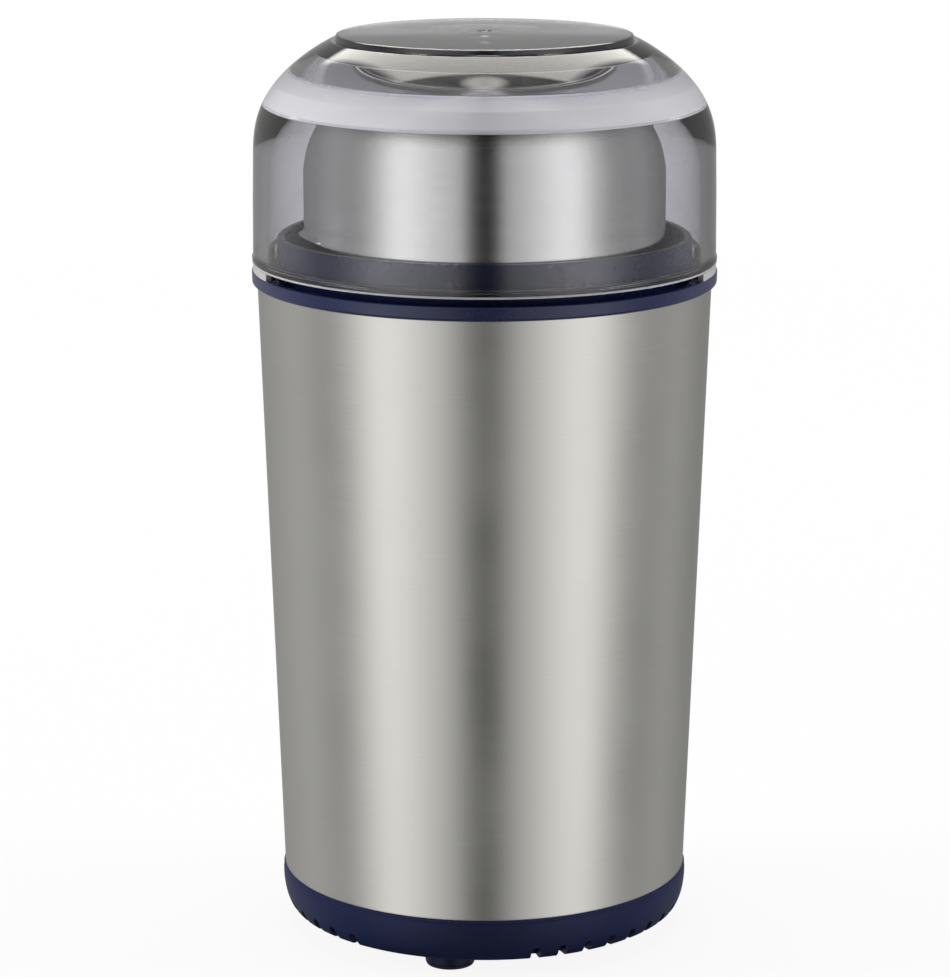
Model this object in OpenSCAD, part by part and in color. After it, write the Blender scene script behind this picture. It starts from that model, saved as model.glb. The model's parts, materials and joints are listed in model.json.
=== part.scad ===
// Electric spice grinder with a clear press-down lid, a lift-out steel bowl
// and an upright universal motor under it.
// +Z is up, z = 0 is the plane that the feet stand on, and the front faces -Y.

/* [Body] */
// Outer diameter of the lid at its bottom edge
lid_d = 100.2; // [99:0.1:101.4]
// How much narrower the steel shell is at its foot than the lid
shell_taper = 11.5; // [11:0.1:12]
// Height of the steel shell
shell_h = 130.3; // [129.5:0.1:134]
// Thickness of the steel sheet
sheet = 0.6; // [0.5:0.1:0.7]
// Wall of the moulded housing parts
wall = 2.2; // [2:0.1:2.4]

/* [Lid] */
// Height of the lid from its bottom edge to its crown
lid_h = 49.3; // [48.5:0.1:52]
// Wall of the clear lid
lid_wall = 2.4; // [2.2:0.1:2.6]
// Height of the lid's rounded shoulder
shoulder_h = 25.55; // [25.2:0.05:26.2]
// How far the lid is pressed to start the motor
press_travel = 1.3; // [1:0.1:1.4]
// Width of each press tab, in degrees round the lid
tab_angle = 44; // [36:1:46]

/* [Bowl] */
// Gap from the outside of the lid in to the side of the steel bowl
bowl_gap = 11.2; // [11:0.1:11.6]
// Height from the bowl's rim to the lid's crown
head_room = 16.35; // [16.35:0.05:17.5]
// Tip-to-tip span of the blade
blade_span = 60; // [50:1:64]

/* [Motor] */
// Diameter of the armature shaft
shaft_d = 6; // [5.6:0.1:6.2]
// Air gap round the stator stack, inside the motor housing
stator_gap = 3.9; // [3.6:0.1:4.1]
// Room for the winding between the stator stack and the fan
winding_room = 8; // [7.5:0.5:9]
// From the middle of each motor screw in to the rim of the cooling fan
fan_gap = 2.1; // [1.9:0.1:4]

/* [Base] */
// Height of each rubber foot below the base
foot_h = 4; // [3.6:0.1:4.6]
// Diameter of each foot
foot_d = 10.8; // [10:0.1:11.4]
// Radius of the circle that the feet stand on
foot_ring = 33; // [32:0.1:33.4]
// Vent slots in each gap between two feet
vent_count = 9; // [3:1:9]
// Angle between neighbouring vent slots
vent_pitch = 8.1; // [7.5:0.1:9]
// Width of a vent slot
vent_w = 1.7; // [1.2:0.1:2.2]
// Turn of the first foot from the front, clockwise seen from above
foot_turn = 13; // [0:1:30]

/* [Cord inlet] */
// Bore of the cord gland
cord_d = 6.4; // [5.5:0.1:6.8]

/* [Hidden] */
$fn = 96;
eps = 0.01;
slack = 0.05;          // radial running clearance of a shaft in its bush
feet = 3;

// Heights, from the floor up
base_z = foot_h;                       // underside of the base
base_h = 9.6;                          // side of the base
shell_z = base_z + base_h;             // foot of the steel shell
collar_z = shell_z + shell_h;          // underside of the collar's flange
flange_h = 3.05;
flange_top = collar_z + flange_h;
ring_top = flange_top + 8;             // top of the collar's inner ring
lid_gap = 1.6;                         // between the collar and the lid
lid_z = flange_top + lid_gap;          // bottom edge of the lid
lid_top = lid_z + lid_h;
lid_straight = lid_h - shoulder_h;     // height of the lid's straight wall
well_z = collar_z - 15.9;              // floor that the bowl stands on
carrier_h = 7;
bowl_z = well_z + carrier_h;           // underside of the bowl's floor
rim_z = lid_top - head_room;           // rim of the bowl

// Radii of the body
lid_r = lid_d / 2;
flange_r = lid_r + 0.1;
collar_foot_r = lid_r - 0.7;
shell_foot_r = (lid_d - shell_taper) / 2;
shell_top_r = lid_r - 1.1;
base_r = shell_foot_r + 0.41;
base_wall = 1.6;
spigot_r = shell_foot_r - sheet - 0.45;
ring_r = lid_r - 5.5;                  // collar's inner ring, outside
ring_bore_r = ring_r - 1.6;

// Bowl and its well
bowl_r = lid_r - bowl_gap;
bowl_sheet = 0.7;
bowl_corner = 7;
well_r = bowl_r + 0.9;
well_wall = 1.6;
well_step = 12.6;                      // height of the narrow part of the well
lug_angles = [-71, 49, 169];           // pressed ledges on the bowl's side
key_angles = [-12, 108, 228];          // keys inside the collar's ring

// Press rods, tabs and springs
tab_depth = 2.2;                       // how far a tab hangs below the lid
tab_top_z = lid_z - tab_depth;         // foot of a tab, top of its rod
tab_r = lid_r - 0.8;
tab_in = tab_r - 2.3;
foot_in = tab_r - 4.1;                 // inner face of a tab's foot
foot_angle = 14;
pocket_gap = 0.25;
pocket_z = tab_top_z - press_travel - 0.2;
rod_d = 2.4;
rod_hole_d = 2.7;
prong_r = lid_r - 3.7;
rod_r = lid_r - 5.9;
jog_z = collar_z - 11.85;              // underside of the jog in each rod
jog_h = 3;
frame_top = well_z - 15.45;            // top of the motor housing
frame_plate = 2.5;
yoke_z = frame_top - 16.5;
yoke_h = 3;

// Motor housing and motor
frame_gap = 15.6;                      // from the lid's side in to the motor housing
frame_r = lid_r - frame_gap;
frame_bore = frame_r - wall + 0.2;
frame_z = 22;                          // foot of the motor housing
shelf_z = 28;                          // shelf that the lower mounts stand on
mount_h = 6;
lower_z = shelf_z + mount_h;           // lower bracket
plate_t = 2;
stack_z = lower_z + 22;
upper_z = frame_top - frame_plate - 9; // upper bracket
fan_z = upper_z - 11.05;
stack_top = fan_z - winding_room;
stack_h = stack_top - stack_z;
mount_x = frame_bore - 4;
stator_r = frame_bore - stator_gap;
bolt_r = stator_r - 2.5;
shaft_r = shaft_d / 2;
bearing_r = 7.5;
bearing_h = 5;
boss_r = 9.5;
pole_gap = 0.6;
armature_r = stator_r / 2 - 0.3;
neck_w = 14;
shoe_t = 2.9;
yoke_t = 5;                            // radial width of the stator's ring
comm_z = lower_z + 5;
comm_h = 9;
comm_r = armature_r - 5;
fan_r = bolt_r - fan_gap;
dog_z = well_z - 14;
dog_h = 11;
dog_r = 10;

// Blade spindle
spindle_r = 3;
bush_r = 5;
bush_z = well_z - 1;
bush_top = bowl_z + 6;
tooth_r = 7;
tooth_w = 2.4;
teeth = 6;

// Colours of the object
navy = [0.17, 0.19, 0.30];
steel = [0.78, 0.78, 0.77];
clear = [0.75, 0.76, 0.80, 0.45];
silicone = [0.88, 0.90, 0.93];
black = [0.06, 0.06, 0.07];
dark = [0.20, 0.20, 0.22];
copper = [0.72, 0.38, 0.20];
bronze = [0.70, 0.50, 0.28];
white = [0.90, 0.89, 0.86];
blue = [0.15, 0.28, 0.62];
brown = [0.36, 0.20, 0.12];

// ---------------------------------------------------------------- helpers

// Points along a quarter or part of an ellipse in the (r, z) half plane
function arc(cr, cz, rr, rz, from, to, steps) =
    [for (i = [0:steps]) let (a = from + (to - from) * i / steps)
        [cr + rr * cos(a), cz + rz * sin(a)]];

// Radius of the shell's outside at height z
function shell_at(z) =
    shell_foot_r + (shell_top_r - shell_foot_r) * (z - shell_z) / shell_h;

module lathe(points) rotate_extrude() polygon(points);

// Ring or tube from z up
module tube(outer, inner, h, z = 0)
    rotate_extrude() translate([inner, z]) square([outer - inner, h]);

// Part of a ring, centred on an angle measured from the front, seen from above
module sector(outer, inner, h, z, angle, width)
    rotate(angle - 90 - width / 2)
        rotate_extrude(angle = width)
            translate([inner, z]) square([outer - inner, h]);

module both_sides() for (side = [0, 180]) rotate(side) children();

// Copies at each foot; the first is turned from the front
module at_feet(radius)
    for (i = [0:feet - 1])
        rotate(-foot_turn + i * 360 / feet)
            translate([0, -radius, 0]) children();

module screw(head_r, head_h, shank_r, length)
    difference() {
        union() {
            cylinder(r = head_r, h = head_h);
            translate([0, 0, head_h - eps]) cylinder(r = shank_r, h = length);
        }
        for (a = [0, 90]) rotate(a)
            translate([-head_r * 0.6, -0.4, -eps])
                cube([head_r * 1.2, 0.8, head_h * 0.5]);
    }

// ------------------------------------------------------------------- base

corner_w = 2.9;
corner_h = 7.9;
screw_ring = 21;
vent_h = 2;
foot_lip = 0.7;            // rubber that shows below a foot's navy boss
boss_below = foot_h - foot_lip;

module base_cover() color(navy) difference() {
    union() {
        lathe(concat(
            [[0, base_z]],
            arc(base_r - corner_w, base_z + corner_h, corner_w, corner_h, -90, 0, 9),
            [[base_r, shell_z], [spigot_r, shell_z], [spigot_r, shell_z + 5],
             [spigot_r - wall, shell_z + 5], [spigot_r - wall, base_z + 6.5],
             [spigot_r - wall - 2.4, base_z + base_wall], [0, base_z + base_wall]]));
        at_feet(foot_ring)
            translate([0, 0, base_z - boss_below])
                cylinder(d = foot_d, h = boss_below + base_wall + 2.4);
        at_feet(screw_ring)
            translate([0, 0, base_z]) cylinder(r = 4.4, h = frame_z - base_z);
    }
    at_feet(foot_ring)
        translate([0, 0, base_z - boss_below - eps])
            cylinder(d = foot_d - 2.4, h = boss_below + 2.4);
    at_feet(screw_ring) {
        translate([0, 0, base_z - eps]) cylinder(r = 3.1, h = 6 + eps);
        translate([0, 0, base_z]) cylinder(r = 1.6, h = frame_z);
    }
    for (gap = [0:feet - 1], i = [0:vent_count - 1])
        rotate(-foot_turn + (gap + 0.5) * 360 / feet
               + (i - (vent_count - 1) / 2) * vent_pitch)
            translate([-vent_w / 2, -base_r - 1, base_z - 1])
                cube([vent_w, 10, vent_h + 1]);
}

module rubber_feet() color(black) at_feet(foot_ring) {
    lathe([[0, 0.5], [foot_d / 2 - 3, 0.5], [foot_d / 2 - 3, 0],
           [foot_d / 2 - 0.6, 0], [foot_d / 2 - 0.1, 0.5],
           [foot_d / 2 - 0.1, foot_lip], [foot_d / 2 - 1.25, foot_lip],
           [foot_d / 2 - 1.25, base_z + 2.3], [0, base_z + 2.3]]);
}

module base_screws() color(steel) at_feet(screw_ring)
    translate([0, 0, base_z + 4.2]) screw(3, 1.8, 1.5, 16);

// ------------------------------------------------------------ steel shell

gland_z = shell_z + 12;
gland_hole_r = cord_d / 2 + 2.1;

module outer_shell() color(steel) difference() {
    lathe([[shell_foot_r, shell_z], [shell_top_r, collar_z],
           [shell_top_r - sheet, collar_z], [shell_foot_r - sheet, shell_z]]);
    translate([0, shell_foot_r - 6, gland_z]) rotate([-90, 0, 0])
        cylinder(r = gland_hole_r, h = 12);
}

module cord_gland() color(black)
    translate([0, shell_at(gland_z), gland_z]) rotate([-90, 0, 0])
        difference() {
            union() {
                translate([0, 0, 0.45]) cylinder(r1 = gland_hole_r + 1.9,
                                                 r2 = gland_hole_r + 1, h = 1.6);
                translate([0, 0, -6]) cylinder(r = gland_hole_r - slack, h = 7);
                translate([0, 0, -6]) cylinder(r = gland_hole_r + 1.2, h = 3.4);
                cylinder(r = cord_d / 2 + 1.5, h = 5);
            }
            translate([0, 0, -7]) cylinder(d = cord_d, h = 20);
        }

// ----------------------------------------------------------------- collar

module collar_body() lathe(concat(
    [[collar_foot_r, collar_z]],
    arc(flange_r - 0.7, collar_z + 0.7, 0.62, 0.7, -70, 0, 4),
    arc(flange_r - 0.4, flange_top - 0.4, 0.4, 0.4, 0, 90, 4),
    [[ring_r, flange_top]],
    arc(ring_r - 0.5, ring_top - 0.5, 0.5, 0.5, 0, 90, 4),
    arc(ring_bore_r + 0.3, ring_top - 0.3, 0.3, 0.3, 90, 180, 3),
    [[ring_bore_r, well_z + well_step], [well_r, well_z + well_step],
     [well_r, well_z], [13, well_z], [13, well_z - 2.4],
     [well_r + well_wall, well_z - 2.4],
     [well_r + well_wall, well_z + well_step - 1.8],
     [ring_r, well_z + well_step - 1.8], [ring_r, collar_z],
     [lid_r - 3.4, collar_z], [lid_r - 3.4, collar_z - 7.8],
     [lid_r - 2.2, collar_z - 7.8], [lid_r - 2.2, collar_z]]));

// Rib down the inside of the collar's ring, beside which a bowl ledge turns in
module collar_keys()
    for (a = key_angles)
        sector(ring_bore_r + 0.4, ring_bore_r - 1.9,
               ring_top - 2 - well_z - well_step, well_z + well_step, a, 8);

pillar_ring = 27;
collar_pillar_r = 4;

module top_collar() color(navy) difference() {
    union() {
        collar_body();
        collar_keys();
    }
    both_sides() {
        sector(tab_r + pocket_gap, tab_in - pocket_gap, 6, pocket_z, 90, tab_angle + 2);
        sector(tab_in + 1, foot_in - pocket_gap, 6, pocket_z, 90, foot_angle + 2);
        translate([prong_r, 0, collar_z - 1]) cylinder(d = rod_hole_d, h = flange_h);
        sector(lid_r, lid_r - 4, 9, collar_z - 9 - eps, 90, 20);
    }
    for (a = lug_angles)
        sector(well_r + well_wall + 1, well_r - 1, well_step + 1, well_z, a, 15);
    for (i = [0:2]) rotate(i * 120 + 30) translate([pillar_ring, 0, 0]) {
        translate([0, 0, well_z - 3]) cylinder(r = 1.6, h = 4);
        translate([0, 0, well_z - 1]) cylinder(r1 = 1.6, r2 = 3.1, h = 1 + eps);
    }
}

module collar_screws() color(steel)
    for (i = [0:2]) rotate(i * 120 + 30) translate([pillar_ring, 0, well_z])
        rotate([180, 0, 0]) difference() {
            union() {
                translate([0, 0, 0.05]) cylinder(r1 = 3, r2 = 1.5, h = 0.95);
                cylinder(r = 1.45, h = 10);
            }
            for (a = [0, 90]) rotate(a)
                translate([-1.4, -0.35, -eps]) cube([2.8, 0.7, 0.5]);
        }

// --------------------------------------------------------- motor housing

ear_r = rod_r + 1.6;
ear_w = 9;
switch_z = yoke_z - 0.85;      // top of the switch's button
switch_h = 10;
switch_x = frame_r + 0.6;
switch_t = 6.2;
switch_w = 19.8;
button_h = 1.6;

module motor_housing() color(dark) difference() {
    union() {
        lathe([
            [frame_r, frame_z], [frame_r, frame_top], [12, frame_top],
            [12, frame_top - frame_plate], [frame_bore, frame_top - frame_plate],
            [frame_bore, frame_z]]);
        both_sides() {
            translate([frame_bore - 1, -ear_w / 2, frame_top - frame_plate])
                cube([ear_r - frame_bore + 1, ear_w, frame_plate]);
            intersection() {
                translate([mount_x - 4, -5, shelf_z - 3]) cube([8, 10, 3]);
                cylinder(r = frame_bore + 1, h = frame_top);
            }
        }
        for (i = [0:2]) rotate(i * 120 + 30)
            translate([pillar_ring, 0, frame_top - 1])
                cylinder(r = collar_pillar_r, h = well_z - 2.4 - frame_top + 1);
        at_feet(screw_ring) {
            translate([0, 0, frame_z]) cylinder(r = 4.4, h = 5);
            translate([-1.2, screw_ring - frame_r + 1, frame_z + 0.5])
                cube([2.4, frame_r - screw_ring - 5, 4.5]);
        }
        difference() {
            translate([frame_bore - 3, -switch_w / 2 - 1,
                       switch_z - button_h - switch_h])
                cube([switch_x - frame_bore + 3, switch_w + 2, switch_h - 0.5]);
            cylinder(r = frame_r - 1, h = frame_top);
        }
    }
    both_sides()
        translate([rod_r, 0, frame_top - 4]) cylinder(d = rod_hole_d, h = 5);
    for (i = [0:2]) rotate(i * 120 + 30)
        translate([pillar_ring, 0, well_z - 11]) cylinder(r = 1.45, h = 10);
    at_feet(screw_ring)
        translate([0, 0, frame_z - 1]) cylinder(r = 1.5, h = 7);
    for (y = [-1, 1])
        translate([frame_bore + 0.9, y * switch_w * 0.25, switch_z - button_h - 6])
            rotate([0, 90, 0]) cylinder(r = 1, h = 3);
}

module rubber_mounts() color(black) both_sides() {
    translate([mount_x, 0, shelf_z]) cylinder(r = 3, h = mount_h);
    translate([mount_x, 0, upper_z + plate_t])
        cylinder(r = 3, h = frame_top - frame_plate - upper_z - plate_t);
}

// ------------------------------------------------------------------ motor

// Cross-shaped steel plate with a bearing boss above or below it
module bracket(z, boss_z, boss_h, seat_z) difference() {
    union() {
        translate([-mount_x - 2.9, -5, z]) cube([2 * mount_x + 5.8, 10, plate_t]);
        translate([-6, -bolt_r - 3, z]) cube([12, 2 * bolt_r + 6, plate_t]);
        translate([0, 0, boss_z]) cylinder(r = boss_r, h = boss_h);
    }
    translate([0, 0, seat_z]) cylinder(r = bearing_r + slack, h = bearing_h + eps);
    translate([0, 0, z - 12]) cylinder(r = shaft_r + 1.5, h = 24);
    for (y = [-1, 1]) translate([0, y * bolt_r, z - 1]) cylinder(r = 1.4, h = 4);
}

lower_seat = lower_z - 3;
upper_seat = upper_z + 3;

module lower_bracket() color(steel)
    bracket(lower_z, lower_z - 4.5, 6.5, lower_seat);

module upper_bracket() color(steel)
    bracket(upper_z, upper_z, 7.5, upper_seat);

// Ball bearing: two races, a cage ring of balls between them
module bearing(z) {
    tube(bearing_r, bearing_r - 1.4, bearing_h, z);
    tube(shaft_r + slack + 1.3, shaft_r + slack, bearing_h, z);
    for (i = [0:7]) rotate(i * 45)
        translate([(bearing_r + shaft_r) / 2, 0, z + bearing_h / 2])
            sphere(r = 1);
}

module lower_bearing() color(steel) bearing(lower_seat);
module upper_bearing() color(steel) bearing(upper_seat);

module stator_core() color(dark) difference() {
    union() {
        tube(stator_r, stator_r - yoke_t, stack_h, stack_z);
        both_sides() {
            sector(armature_r + pole_gap + shoe_t, armature_r + pole_gap,
                   stack_h, stack_z, 90, 124);
            translate([armature_r + 2, -neck_w / 2, stack_z])
                cube([stator_r - yoke_t - armature_r - 1, neck_w, stack_h]);
        }
    }
    for (y = [-1, 1])
        translate([0, y * bolt_r, stack_z - 1]) cylinder(r = 1.4, h = stack_h + 2);
}

module field_coils() color(copper) both_sides() difference() {
    intersection() {
        tube(stator_r - yoke_t - 0.2, armature_r + pole_gap + shoe_t + 0.2,
             stack_h + 12, stack_z - 6);
        translate([0, -14, stack_z - 6]) cube([40, 28, stack_h + 12]);
    }
    translate([0, -neck_w / 2 - 0.2, stack_z - 0.2])
        cube([40, neck_w + 0.4, stack_h + 0.4]);
}

module motor_screws() color(steel)
    for (y = [-1, 1]) translate([0, y * bolt_r, 0]) {
        translate([0, 0, lower_z - 1.7])
            screw(2.4, 1.7, 1.3, upper_z + plate_t + 2.4 - lower_z);
        translate([0, 0, upper_z + plate_t])
            rotate(30) difference() {
                cylinder(r = 2.7, h = 2, $fn = 6);
                translate([0, 0, -eps]) cylinder(r = 1.3, h = 3);
            }
    }

brush_z = comm_z + 1.5;
brush_h = 6;
holder_in = comm_r + 1.6;

module brush_holders() color(bronze) both_sides() rotate(90) difference() {
    union() {
        translate([holder_in, -3.6, brush_z - 0.8])
            cube([bolt_r - holder_in - 3.4, 7.2, brush_h + 1.6]);
        translate([holder_in + 2, -3, lower_z + plate_t])
            cube([5, 6, brush_z - lower_z - plate_t]);
    }
    translate([holder_in - 1, -2.8, brush_z])
        cube([bolt_r - holder_in - 3.4, 5.6, brush_h]);
}

module carbon_brushes() color(black) both_sides() rotate(90)
    translate([comm_r + 0.3, -2.7, brush_z + 0.1])
        cube([bolt_r - comm_r - 8.1, 5.4, brush_h - 0.2]);

module armature_shaft() color(steel)
    translate([0, 0, lower_seat - 2])
        cylinder(r = shaft_r, h = dog_z + 3 - lower_seat + 2);

module armature_core() color(dark) difference() {
    tube(armature_r, shaft_r, stack_h, stack_z);
    for (i = [0:11]) rotate(i * 30)
        translate([armature_r - 5, -1.2, stack_z - 1]) cube([4.2, 2.4, stack_h + 2]);
    for (i = [0:11]) rotate(i * 30)
        translate([armature_r - 1.5, -0.6, stack_z - 1]) cube([3, 1.2, stack_h + 2]);
}

module armature_winding() color(copper)
    for (z = [stack_z - 6, stack_top]) lathe([
        [shaft_r + 1, z], [armature_r - 3, z], [armature_r - 1.5, z + 1.5],
        [armature_r - 1.5, z + 4.5], [armature_r - 3, z + 6], [shaft_r + 1, z + 6]]);

module commutator() color(copper) difference() {
    union() {
        tube(comm_r, shaft_r, comm_h, comm_z);
        tube(comm_r + 1, shaft_r, 1.6, comm_z + comm_h);
    }
    for (i = [0:23]) rotate(i * 15)
        translate([comm_r - 0.7, -0.2, comm_z - 1]) cube([2, 0.4, comm_h + 3]);
}

fan_blades = 10;

module cooling_fan() color(white) difference() {
    union() {
        tube(fan_r, shaft_r, 1.2, fan_z);
        tube(6.5, shaft_r, 7, fan_z);
        for (i = [0:fan_blades - 1]) rotate(i * 360 / fan_blades)
            translate([7, 0, fan_z]) rotate(18)
                translate([0, -0.5, 0]) cube([fan_r - 8, 1, 6.4]);
    }
    translate([0, 0, fan_z - 1]) cylinder(r = shaft_r, h = 10);
}

// Star-shaped prism that the two halves of the coupling share
module star(core_r, tip_r, width, h) {
    cylinder(r = core_r, h = h);
    for (i = [0:teeth - 1]) rotate(i * 360 / teeth)
        translate([0, -width / 2, 0]) cube([tip_r, width, h]);
}

module drive_dog() color(black) difference() {
    translate([0, 0, dog_z]) cylinder(r = dog_r, h = dog_h);
    translate([0, 0, dog_z + 4.5])
        star(tooth_r - 2, tooth_r + 0.4, tooth_w + 0.6, dog_h);
    translate([0, 0, dog_z - eps]) cylinder(r = shaft_r, h = 3 + eps);
}

// ------------------------------------------------- electrical small parts

module micro_switch() color(black) difference() {
    translate([switch_x, -switch_w / 2, switch_z - button_h - switch_h])
        cube([switch_t, switch_w, switch_h]);
    translate([switch_x + switch_t / 2, switch_w / 4, switch_z - button_h - 2])
        cylinder(r = 1.5, h = 3);
    for (y = [-1, 1])
        translate([switch_x - 1, y * switch_w * 0.25, switch_z - button_h - 6])
            rotate([0, 90, 0]) cylinder(r = 1.15, h = 10);
}

module switch_screws() color(steel)
    for (y = [-1, 1])
        translate([switch_x + switch_t + 1, y * switch_w * 0.25,
                   switch_z - button_h - 6])
            rotate([0, -90, 0]) screw(1.9, 1, 0.98, switch_t + 1.5);

module switch_button() color(white)
    translate([switch_x + switch_t / 2, switch_w / 4, switch_z - button_h - 1.2])
        cylinder(r = 1.45, h = button_h + 1.2);

module noise_capacitor() color(brown) {
    translate([5, -27, base_z + base_wall]) cube([14, 9, 8]);
    for (x = [8, 16]) translate([x, -22.5, base_z + base_wall + 8 - eps])
        cylinder(r = 0.5, h = 5);
}

module terminal_block() color(white) difference() {
    translate([-9, 22, base_z + base_wall]) cube([18, 9, 8]);
    for (x = [-4.5, 4.5]) {
        translate([x, 26.5, base_z + base_wall + 3]) cylinder(r = 2, h = 6);
        translate([x, 20, base_z + base_wall + 4]) rotate([-90, 0, 0])
            cylinder(r = 1.5, h = 12);
    }
}

// Sections of a round lead, square to its path, as one closed mesh
function unit(v) = v / norm(v);

function lead_points(path, across, r, sides) =
    [for (i = [0:len(path) - 1])
        let (t = unit(path[min(i + 1, len(path) - 1)] - path[max(i - 1, 0)]),
             u = unit(cross(t, across)), v = cross(t, u))
        for (s = [0:sides - 1])
            path[i] + r * (u * cos(360 * s / sides) + v * sin(360 * s / sides))];

// "across" is a direction that no part of the path runs along
module lead(path, across, r = 0.9, sides = 10)
    polyhedron(lead_points(path, across, r, sides), tube_faces(len(path) - 1, sides),
               convexity = 6);

module inner_leads() {
    block_z = base_z + base_wall + 4;
    lead_x = frame_bore - 2.9;
    color(blue) lead([[-4.5, 21.8, block_z], [-4.5, 19, block_z + 1],
                      [-6, 8, block_z + 7], [-20, 3, block_z + 11],
                      [1.6 - lead_x, 8, block_z + 15], [-lead_x, 9, block_z + 20],
                      [-lead_x, 9, brush_z + 8]], [0.7, -0.7, 0.1]);
    color(brown) lead([[4.5, 21.8, block_z], [4.5, 19, block_z + 1],
                       [8, 8, block_z + 6], [14, 0, block_z + 9],
                       [lead_x - 4.6, -8, block_z + 14],
                       [lead_x - 1, -10, block_z + 19],
                       [lead_x - 1, -10, switch_z - 8]], [0.7, 0.7, 0.1]);
}

// Coil of round wire between two heights, as one closed mesh
function coil_points(radius, wire, z0, z1, turns, steps, sides) =
    [for (i = [0:steps], s = [0:sides - 1])
        let (a = 360 * turns * i / steps, b = 360 * s / sides,
             r = radius + wire / 2 * cos(b))
        [r * cos(a), r * sin(a), z0 + wire / 2 + (z1 - z0 - wire) * i / steps
                                 + wire / 2 * sin(b)]];

// Quads round a tube of sections, with a cap at each end
function tube_faces(steps, sides) = concat(
    [[for (s = [0:sides - 1]) s]],
    [for (i = [0:steps - 1], s = [0:sides - 1])
        [i * sides + s, (i + 1) * sides + s,
         (i + 1) * sides + (s + 1) % sides, i * sides + (s + 1) % sides]],
    [[for (s = [sides - 1:-1:0]) steps * sides + s]]);

spring_wire = 0.5;
spring_r = rod_d / 2 + 0.55;
spring_turns = 7;

module return_springs() color(steel) both_sides()
    translate([rod_r, 0, 0])
        polyhedron(
            coil_points(spring_r, spring_wire, frame_top, jog_z,
                        spring_turns, spring_turns * 14, 6),
            tube_faces(spring_turns * 14, 6), convexity = 8);

// ------------------------------------------------------------------- bowl

rim_roll = 1.2;

module grinding_bowl() color(steel) {
    lathe(concat(
        [[bush_r + slack, bowl_z]],
        arc(bowl_r - bowl_corner, bowl_z + bowl_corner, bowl_corner, bowl_corner,
            -90, 0, 7),
        [[bowl_r, rim_z - 0.9]],
        arc(bowl_r + rim_roll - 0.45, rim_z - 0.45, 0.45, 0.45, -90, 90, 5),
        [[bowl_r - bowl_sheet + 0.5, rim_z], [bowl_r - bowl_sheet, rim_z - 0.5]],
        arc(bowl_r - bowl_corner, bowl_z + bowl_corner, bowl_corner - bowl_sheet,
            bowl_corner - bowl_sheet, 0, -90, 7),
        [[bush_r + slack, bowl_z + bowl_sheet]]));
    for (a = lug_angles)
        rotate(a - 90 - 11) rotate_extrude(angle = 22)
            polygon([[bowl_r - 0.3, ring_top - 1.6], [bowl_r + 1.3, ring_top - 0.9],
                     [bowl_r + 1.3, ring_top + 0.1], [bowl_r - 0.3, ring_top + 0.8]]);
}

carrier_r = bowl_r - bowl_corner - 0.2;
carrier_plate = 2.2;

module bowl_carrier() color(navy) {
    lathe([[bush_r + slack, bowl_z], [carrier_r, bowl_z], [carrier_r, well_z],
           [carrier_r - 2.4, well_z], [carrier_r - 2.4, bowl_z - carrier_plate],
           [bush_r + slack, bowl_z - carrier_plate]]);
    for (a = lug_angles)
        sector(well_r + 1.2, carrier_r - 1, 2.8, well_z + 0.2, a, 11);
}

washer_t = 0.8;

module blade_bush() color(bronze) {
    tube(bush_r, spindle_r + slack, bush_top - bush_z, bush_z);
    tube(bush_r + 3, bush_r - 1, 1.8, bowl_z + bowl_sheet + washer_t);
}

module bush_washer() color(black)
    tube(bush_r + 3.6, bush_r + slack, washer_t, bowl_z + bowl_sheet);

module bush_nut() color(steel) difference() {
    translate([0, 0, bowl_z - 5]) cylinder(r = 8, h = 2.8, $fn = 6);
    translate([0, 0, bowl_z - 6]) cylinder(r = bush_r, h = 6);
}

// ------------------------------------------------------------------ blade

blade_z = bush_top + 1.2;
blade_t = 1.4;
spindle_top = blade_z + blade_t + 3.4;

module blade_spindle() color(steel) {
    translate([0, 0, dog_z + 5]) cylinder(r = spindle_r, h = spindle_top - dog_z - 5);
    translate([0, 0, bush_top + 0.2]) cylinder(r = 4.5, h = 1);
}

module driven_dog() color(black) difference() {
    union() {
        translate([0, 0, dog_z + 5]) star(tooth_r - 2.4, tooth_r, tooth_w, 7);
        translate([0, 0, dog_z + dog_h + 0.2])
            cylinder(r = tooth_r, h = bush_z - dog_z - dog_h - 0.4);
    }
    translate([0, 0, dog_z]) cylinder(r = spindle_r, h = 20);
}

tip_x = blade_span * 0.29;         // where each tip is bent up
tip_bend = 16;

// Middle of the blade in plan, flat between the two bends
module bar_plan() polygon([[-tip_x - 0.6, -3.6], [tip_x - 3, -4.6], [tip_x + 0.6, -3.6],
                           [tip_x + 0.6, 4.4], [3 - tip_x, 4.9], [-tip_x - 0.6, 4.4]]);

// Tip in plan: a straight back and a ground cutting edge
module tip_plan() polygon([[-0.8, -3.3], [blade_span / 2 - tip_x - 4, -2],
                           [blade_span / 2 - tip_x, 1.4],
                           [blade_span / 2 - tip_x - 2, 3.4], [-0.8, 4.1]]);

module blade() color(steel) difference() {
    union() {
        translate([0, 0, blade_z]) linear_extrude(blade_t) bar_plan();
        for (side = [0, 180]) rotate(side)
            translate([tip_x, 0, blade_z + blade_t / 2]) rotate([0, -tip_bend, 0])
                translate([0, 0, -blade_t / 2]) linear_extrude(blade_t) tip_plan();
    }
    translate([0, 0, blade_z - 3]) cylinder(r = spindle_r, h = 8);
}

nut_h = 3;
cap_h = 3.2;

module blade_nut() color(steel) difference() {
    translate([0, 0, blade_z + blade_t]) union() {
        cylinder(r = 5, h = nut_h, $fn = 6);
        translate([0, 0, nut_h - eps]) cylinder(r1 = 4.2, r2 = 2.6, h = cap_h);
    }
    translate([0, 0, blade_z]) cylinder(r = spindle_r, h = spindle_top - blade_z);
}

// ------------------------------------------------------------ press action

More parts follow.
